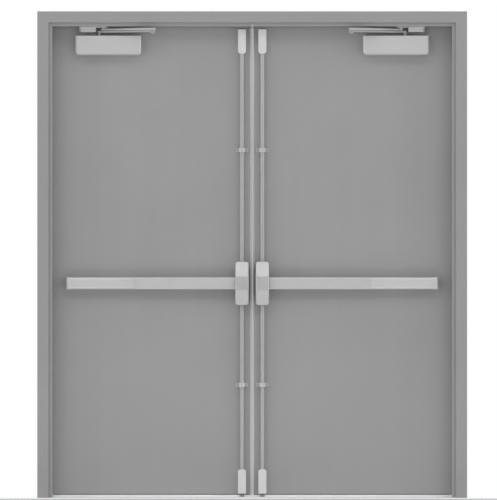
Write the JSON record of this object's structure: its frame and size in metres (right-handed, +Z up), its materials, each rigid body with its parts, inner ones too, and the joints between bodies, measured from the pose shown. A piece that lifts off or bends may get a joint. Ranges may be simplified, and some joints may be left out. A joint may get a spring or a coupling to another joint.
{
  "type": "double steel exit door in a frame",
  "caption": "Hollow steel double door in a pressed-steel frame, with push-rail exit devices, surface rods, overhead closers and a latching sill; opens away from the push side.",
  "frame": {"origin": "on the floor, at the middle of the opening and of the frame's depth", "axes": "+Z up, +X to the right seen from the push side, +Y towards the pull side"},
  "size_m": [1.931, 0.1831, 2.185],
  "materials": {
    "leaf_paint": "factory grey primer, matt",
    "frame_paint": "factory grey primer, matt",
    "mill_aluminium": "mill finish",
    "zinc_steel": "zinc coated",
    "satin_steel": "satin",
    "dark_steel": "dark oxide",
    "device_silver": "silver lacquer, satin",
    "rod_steel": "silver lacquer, satin",
    "closer_paint": "silver lacquer, satin",
    "closer_casting": "as cast"
  },
  "bodies": {
    "frame": {"left_jamb": "frame_paint", "right_jamb": "frame_paint", "head_jamb": "frame_paint", "threshold": "mill_aluminium", "sill_lip": "mill_aluminium", "floor_clips": "zinc_steel", "wall_straps": "zinc_steel", "top_strikes": "dark_steel", "floor_strikes": "dark_steel", "frame_hinge_leaves": "satin_steel", "closer_shoes": "closer_paint"},
    "left_leaf": {"left_push_skin": "leaf_paint", "left_pull_skin": "leaf_paint", "left_end_channels": "leaf_paint", "left_door_hinge_leaves": "satin_steel", "left_astragal": "mill_aluminium", "left_rail": "device_silver", "left_rail_cover": "device_silver", "left_rail_end_cap": "device_silver", "left_centre_case": "device_silver", "left_latch_cases": "device_silver", "left_rod_guides": "device_silver", "left_closer_cover": "closer_paint", "left_closer_body": "closer_casting"},
    "left_pad": {"left_push_pad": "device_silver"},
    "left_top_latch": {"left_top_rod": "rod_steel", "left_top_bolt": "dark_steel"},
    "left_bottom_latch": {"left_bottom_rod": "rod_steel", "left_bottom_bolt": "dark_steel"},
    "left_arm": {"left_closer_arm": "closer_paint"},
    "left_forearm": {"left_closer_forearm": "closer_paint"},
    "right_leaf": {"right_push_skin": "leaf_paint", "right_pull_skin": "leaf_paint", "right_end_channels": "leaf_paint", "right_door_hinge_leaves": "satin_steel", "right_astragal": "mill_aluminium", "right_rail": "device_silver", "right_rail_cover": "device_silver", "right_rail_end_cap": "device_silver", "right_centre_case": "device_silver", "right_latch_cases": "device_silver", "right_rod_guides": "device_silver", "right_closer_cover": "closer_paint", "right_closer_body": "closer_casting"},
    "right_pad": {"right_push_pad": "device_silver"},
    "right_top_latch": {"right_top_rod": "rod_steel", "right_top_bolt": "dark_steel"},
    "right_bottom_latch": {"right_bottom_rod": "rod_steel", "right_bottom_bolt": "dark_steel"},
    "right_arm": {"right_closer_arm": "closer_paint"},
    "right_forearm": {"right_closer_forearm": "closer_paint"}
  },
  "joints": [
    {"name": "left_leaf_swing", "type": "hinge", "parent": "frame", "child": "left_leaf", "pos_m": [-0.912, 0.081, 0], "axis": [0, 0, 1], "range_deg": [0, 110], "stiffness_Nm_per_rad": 8, "springref_deg": -68.75},
    {"name": "left_pad_push", "type": "slide", "parent": "left_leaf", "child": "left_pad", "axis": [0, 1, 0], "range_m": [-0.0125, 0]},
    {"name": "left_top_throw", "type": "slide", "parent": "left_leaf", "child": "left_top_latch", "axis": [0, 0, 1], "range_m": [0, 0.01]},
    {"name": "left_bottom_throw", "type": "slide", "parent": "left_leaf", "child": "left_bottom_latch", "axis": [0, 0, -1], "range_m": [0, 0.01]},
    {"name": "left_arm_turn", "type": "hinge", "parent": "left_leaf", "child": "left_arm", "pos_m": [-0.688, -0.0001, 0], "axis": [0, 0, -1], "range_deg": [0, 110]},
    {"name": "left_forearm_turn", "type": "hinge", "parent": "frame", "child": "left_forearm", "pos_m": [-0.67, 0, 0], "axis": [0, 0, 1], "range_deg": [0, 110]},
    {"name": "right_leaf_swing", "type": "hinge", "parent": "frame", "child": "right_leaf", "pos_m": [0.912, 0.081, 0], "axis": [0, 0, -1], "range_deg": [0, 110], "stiffness_Nm_per_rad": 8, "springref_deg": -68.75},
    {"name": "right_pad_push", "type": "slide", "parent": "right_leaf", "child": "right_pad", "axis": [0, 1, 0], "range_m": [-0.0125, 0]},
    {"name": "right_top_throw", "type": "slide", "parent": "right_leaf", "child": "right_top_latch", "axis": [0, 0, 1], "range_m": [0, 0.01]},
    {"name": "right_bottom_throw", "type": "slide", "parent": "right_leaf", "child": "right_bottom_latch", "axis": [0, 0, -1], "range_m": [0, 0.01]},
    {"name": "right_arm_turn", "type": "hinge", "parent": "right_leaf", "child": "right_arm", "pos_m": [0.688, -0.0001, 0], "axis": [0, 0, 1], "range_deg": [0, 110]},
    {"name": "right_forearm_turn", "type": "hinge", "parent": "frame", "child": "right_forearm", "pos_m": [0.67, 0, 0], "axis": [0, 0, -1], "range_deg": [0, 110]}
  ],
  "couplings": [
    {"joint": "left_top_throw", "follows": "left_pad_push", "ratio": -0.8},
    {"joint": "left_bottom_throw", "follows": "left_pad_push", "ratio": -0.8},
    {"joint": "left_arm_turn", "follows": "left_leaf_swing", "ratio": 1},
    {"joint": "left_forearm_turn", "follows": "left_leaf_swing", "ratio": 1},
    {"joint": "right_top_throw", "follows": "right_pad_push", "ratio": -0.8},
    {"joint": "right_bottom_throw", "follows": "right_pad_push", "ratio": -0.8},
    {"joint": "right_arm_turn", "follows": "right_leaf_swing", "ratio": 1},
    {"joint": "right_forearm_turn", "follows": "right_leaf_swing", "ratio": 1}
  ]
}
